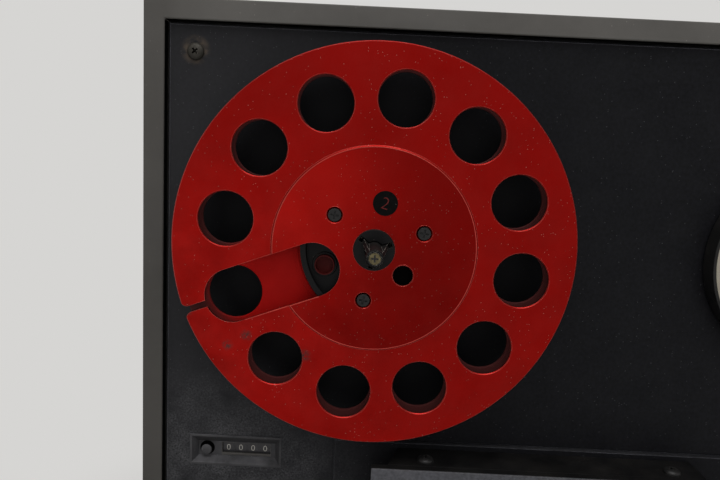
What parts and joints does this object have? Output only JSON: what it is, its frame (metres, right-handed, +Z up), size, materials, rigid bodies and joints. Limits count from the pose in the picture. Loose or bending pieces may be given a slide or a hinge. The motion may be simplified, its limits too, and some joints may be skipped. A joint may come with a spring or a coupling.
{
  "type": "open-reel tape deck",
  "caption": "Upright open-reel tape deck in a grey cabinet, with a red windowed metal reel on the left table, a tape counter, head cover, transport keys, meters and level knobs.",
  "frame": {"origin": "on the surface that the feet stand on, under the middle of the bounding box", "axes": "+X to the right seen from the front, +Y from the front panel to the back, +Z up"},
  "size_m": [0.416, 0.2176, 0.412],
  "materials": {
    "cabinet_board": "dark grey vinyl on board, satin",
    "rear_sheet": "black hardboard, matt",
    "foot_rubber": "moulded rubber",
    "panel_paint": "black paint, satin, dusty",
    "screw_steel": "blackened steel",
    "chassis_steel": "zinc-plated steel",
    "motor_alloy": "die-cast aluminium",
    "belt_rubber": "ground rubber",
    "head_metal": "polished head metal",
    "black_plastic": "moulded black plastic",
    "cover_alloy": "grey painted sheet, satin",
    "bright_steel": "ground steel",
    "bezel_plastic": "moulded dark grey plastic",
    "dial_plastic": "cream moulded plastic",
    "meter_glass": "clear polished window",
    "socket_metal": "nickel plate",
    "transformer_iron": "varnished laminations",
    "board_laminate": "phenolic circuit board",
    "table_plastic": "black moulded plastic",
    "plate_alloy": "spun aluminium",
    "spindle_steel": "blackened turned metal",
    "reel_red": "red anodised, fine sanded",
    "hub_plastic": "black moulded plastic",
    "flywheel_brass": "turned and plated",
    "pulley_brass": "turned brass",
    "roller_rubber": "ground rubber",
    "wheel_plastic": "dark grey moulded plastic",
    "key_alloy": "silver grey moulded plastic",
    "key_red": "red moulded plastic",
    "knob_alloy": "turned aluminium",
    "needle_alloy": "black painted"
  },
  "bodies": {
    "deck": {"cabinet": "cabinet_board", "rear_panel": "rear_sheet", "feet": "foot_rubber", "front_panel": "panel_paint", "deck_plate": "panel_paint", "control_panel": "panel_paint", "screws": "screw_steel", "chassis": "chassis_steel", "reel_motors": "motor_alloy", "capstan_motor": "motor_alloy", "drive_belt": "belt_rubber", "head_block": "motor_alloy", "tape_heads": "head_metal", "head_housing": "black_plastic", "head_cover": "cover_alloy", "tape_guides": "bright_steel", "counter_bezel": "bezel_plastic", "counter_belt": "belt_rubber", "meter_cases": "dial_plastic", "meter_windows": "meter_glass", "sockets": "socket_metal", "power_transformer": "transformer_iron", "amplifier_board": "board_laminate", "key_bezel": "bezel_plastic"},
    "left_table": {"left_reel_table": "table_plastic", "left_table_plate": "plate_alloy", "left_spindle": "spindle_steel"},
    "right_table": {"right_reel_table": "table_plastic", "right_table_plate": "plate_alloy", "right_spindle": "spindle_steel"},
    "supply_reel": {"reel_front_flange": "reel_red", "reel_rear_flange": "reel_red", "reel_hub": "hub_plastic", "reel_screws": "screw_steel"},
    "capstan": {"flywheel": "flywheel_brass", "capstan_shaft": "bright_steel"},
    "motor_pulley": {"motor_pulley": "pulley_brass"},
    "pinch_arm": {"pinch_arm": "chassis_steel"},
    "pinch_roller": {"pinch_roller": "roller_rubber"},
    "left_tension_arm": {"left_tension_arm": "bright_steel"},
    "right_tension_arm": {"right_tension_arm": "bright_steel"},
    "counter_units": {"counter_units": "wheel_plastic"},
    "counter_tens": {"counter_tens": "wheel_plastic"},
    "counter_hundreds": {"counter_hundreds": "wheel_plastic"},
    "counter_thousands": {"counter_thousands": "wheel_plastic"},
    "counter_pulley": {"counter_pulley": "dial_plastic"},
    "reset_button": {"reset_button": "black_plastic"},
    "rewind_key": {"rewind_key": "key_alloy"},
    "fast_forward_key": {"fast_forward_key": "key_alloy"},
    "play_key": {"play_key": "key_alloy"},
    "pause_key": {"pause_key": "key_alloy"},
    "stop_key": {"stop_key": "key_alloy"},
    "record_key": {"record_key": "key_red"},
    "power_button": {"power_button": "key_alloy"},
    "speed_lever": {"speed_lever": "bright_steel"},
    "left_level_knob": {"left_level_knob": "knob_alloy"},
    "right_level_knob": {"right_level_knob": "knob_alloy"},
    "output_knob": {"output_knob": "knob_alloy"},
    "left_needle": {"left_needle": "needle_alloy"},
    "right_needle": {"right_needle": "needle_alloy"}
  },
  "joints": [
    {"name": "left_table_spin", "type": "hinge", "parent": "deck", "child": "left_table", "pos_m": [-0.1005, -0.07318, 0.3057], "axis": [0, 1, 0], "continuous": true},
    {"name": "right_table_spin", "type": "hinge", "parent": "deck", "child": "right_table", "pos_m": [0.1005, -0.07318, 0.3057], "axis": [0, 1, 0], "continuous": true},
    {"name": "reel_lift", "type": "slide", "parent": "left_table", "child": "supply_reel", "axis": [0, -1, 0], "range_m": [0, 0.06]},
    {"name": "capstan_spin", "type": "hinge", "parent": "deck", "child": "capstan", "pos_m": [0.082, -0.06617, 0.174], "axis": [0, 1, 0], "continuous": true},
    {"name": "motor_spin", "type": "hinge", "parent": "deck", "child": "motor_pulley", "pos_m": [-0.041, -0.01117, 0.16], "axis": [0, 1, 0], "continuous": true},
    {"name": "pinch_arm_swing", "type": "hinge", "parent": "deck", "child": "pinch_arm", "pos_m": [0.107, -0.06417, 0.15], "axis": [0, 1, 0], "range_deg": [0, 9], "stiffness_Nm_per_rad": 0.05, "springref_deg": -17.19},
    {"name": "pinch_roller_spin", "type": "hinge", "parent": "pinch_arm", "child": "pinch_roller", "pos_m": [0.08092, -0.07817, 0.15483], "axis": [0, 1, 0], "continuous": true},
    {"name": "left_tension_swing", "type": "hinge", "parent": "deck", "child": "left_tension_arm", "pos_m": [-0.158, -0.06417, 0.172], "axis": [0, -1, 0], "range_deg": [0, 35], "stiffness_Nm_per_rad": 0.03, "springref_deg": -34.38},
    {"name": "right_tension_swing", "type": "hinge", "parent": "deck", "child": "right_tension_arm", "pos_m": [0.158, -0.06417, 0.172], "axis": [0, 1, 0], "range_deg": [0, 35], "stiffness_Nm_per_rad": 0.03, "springref_deg": -34.38},
    {"name": "counter_thousands_turn", "type": "hinge", "parent": "deck", "child": "counter_thousands", "pos_m": [-0.16775, -0.04838, 0.1978], "axis": [1, 0, 0], "continuous": true},
    {"name": "counter_hundreds_turn", "type": "hinge", "parent": "deck", "child": "counter_hundreds", "pos_m": [-0.16165, -0.04838, 0.1978], "axis": [1, 0, 0], "continuous": true},
    {"name": "counter_tens_turn", "type": "hinge", "parent": "deck", "child": "counter_tens", "pos_m": [-0.15555, -0.04838, 0.1978], "axis": [1, 0, 0], "continuous": true},
    {"name": "counter_units_turn", "type": "hinge", "parent": "deck", "child": "counter_units", "pos_m": [-0.14945, -0.04838, 0.1978], "axis": [1, 0, 0], "continuous": true},
    {"name": "counter_pulley_spin", "type": "hinge", "parent": "deck", "child": "counter_pulley", "pos_m": [-0.1272, -0.05017, 0.2049], "axis": [0, 1, 0], "continuous": true},
    {"name": "reset_press", "type": "slide", "parent": "deck", "child": "reset_button", "axis": [0, 1, 0], "range_m": [0, 0.002], "stiffness_N_per_m": 300},
    {"name": "rewind_press", "type": "slide", "parent": "deck", "child": "rewind_key", "axis": [0, 1, 0], "range_m": [0, 0.003], "stiffness_N_per_m": 400},
    {"name": "fast_forward_press", "type": "slide", "parent": "deck", "child": "fast_forward_key", "axis": [0, 1, 0], "range_m": [0, 0.003], "stiffness_N_per_m": 400},
    {"name": "play_press", "type": "slide", "parent": "deck", "child": "play_key", "axis": [0, 1, 0], "range_m": [0, 0.003], "stiffness_N_per_m": 400},
    {"name": "pause_press", "type": "slide", "parent": "deck", "child": "pause_key", "axis": [0, 1, 0], "range_m": [0, 0.003], "stiffness_N_per_m": 400},
    {"name": "stop_press", "type": "slide", "parent": "deck", "child": "stop_key", "axis": [0, 1, 0], "range_m": [0, 0.003], "stiffness_N_per_m": 400},
    {"name": "record_press", "type": "slide", "parent": "deck", "child": "record_key", "axis": [0, 1, 0], "range_m": [0, 0.003], "stiffness_N_per_m": 400},
    {"name": "power_press", "type": "slide", "parent": "deck", "child": "power_button", "axis": [0, 1, 0], "range_m": [0, 0.003], "stiffness_N_per_m": 400},
    {"name": "speed_lever_swing", "type": "hinge", "parent": "deck", "child": "speed_lever", "pos_m": [0, -0.05468, 0.06035], "axis": [1, 0, 0], "range_deg": [-24, 0]},
    {"name": "left_level_knob_turn", "type": "hinge", "parent": "deck", "child": "left_level_knob", "pos_m": [0.0998, -0.06617, 0.0853], "axis": [0, 1, 0], "range_deg": [-150, 150]},
    {"name": "right_level_knob_turn", "type": "hinge", "parent": "deck", "child": "right_level_knob", "pos_m": [0.1378, -0.06617, 0.0853], "axis": [0, 1, 0], "range_deg": [-150, 150]},
    {"name": "output_knob_turn", "type": "hinge", "parent": "deck", "child": "output_knob", "pos_m": [0.1758, -0.06617, 0.0853], "axis": [0, 1, 0], "range_deg": [-150, 150]},
    {"name": "left_needle_swing", "type": "hinge", "parent": "deck", "child": "left_needle", "pos_m": [-0.1618, -0.05418, 0.0562], "axis": [0, 1, 0], "range_deg": [0, 90], "stiffness_Nm_per_rad": 0.0002, "springref_deg": -11.46},
    {"name": "right_needle_swing", "type": "hinge", "parent": "deck", "child": "right_needle", "pos_m": [-0.0998, -0.05418, 0.0562], "axis": [0, 1, 0], "range_deg": [0, 90], "stiffness_Nm_per_rad": 0.0002, "springref_deg": -11.46}
  ],
  "couplings": [
    {"joint": "motor_spin", "follows": "capstan_spin", "ratio": 5.25},
    {"joint": "counter_pulley_spin", "follows": "left_table_spin", "ratio": 1},
    {"joint": "counter_units_turn", "follows": "left_table_spin", "ratio": 0.1},
    {"joint": "counter_tens_turn", "follows": "left_table_spin", "ratio": 0.01},
    {"joint": "counter_hundreds_turn", "follows": "left_table_spin", "ratio": 0.001},
    {"joint": "counter_thousands_turn", "follows": "left_table_spin", "ratio": 0.0001}
  ]
}
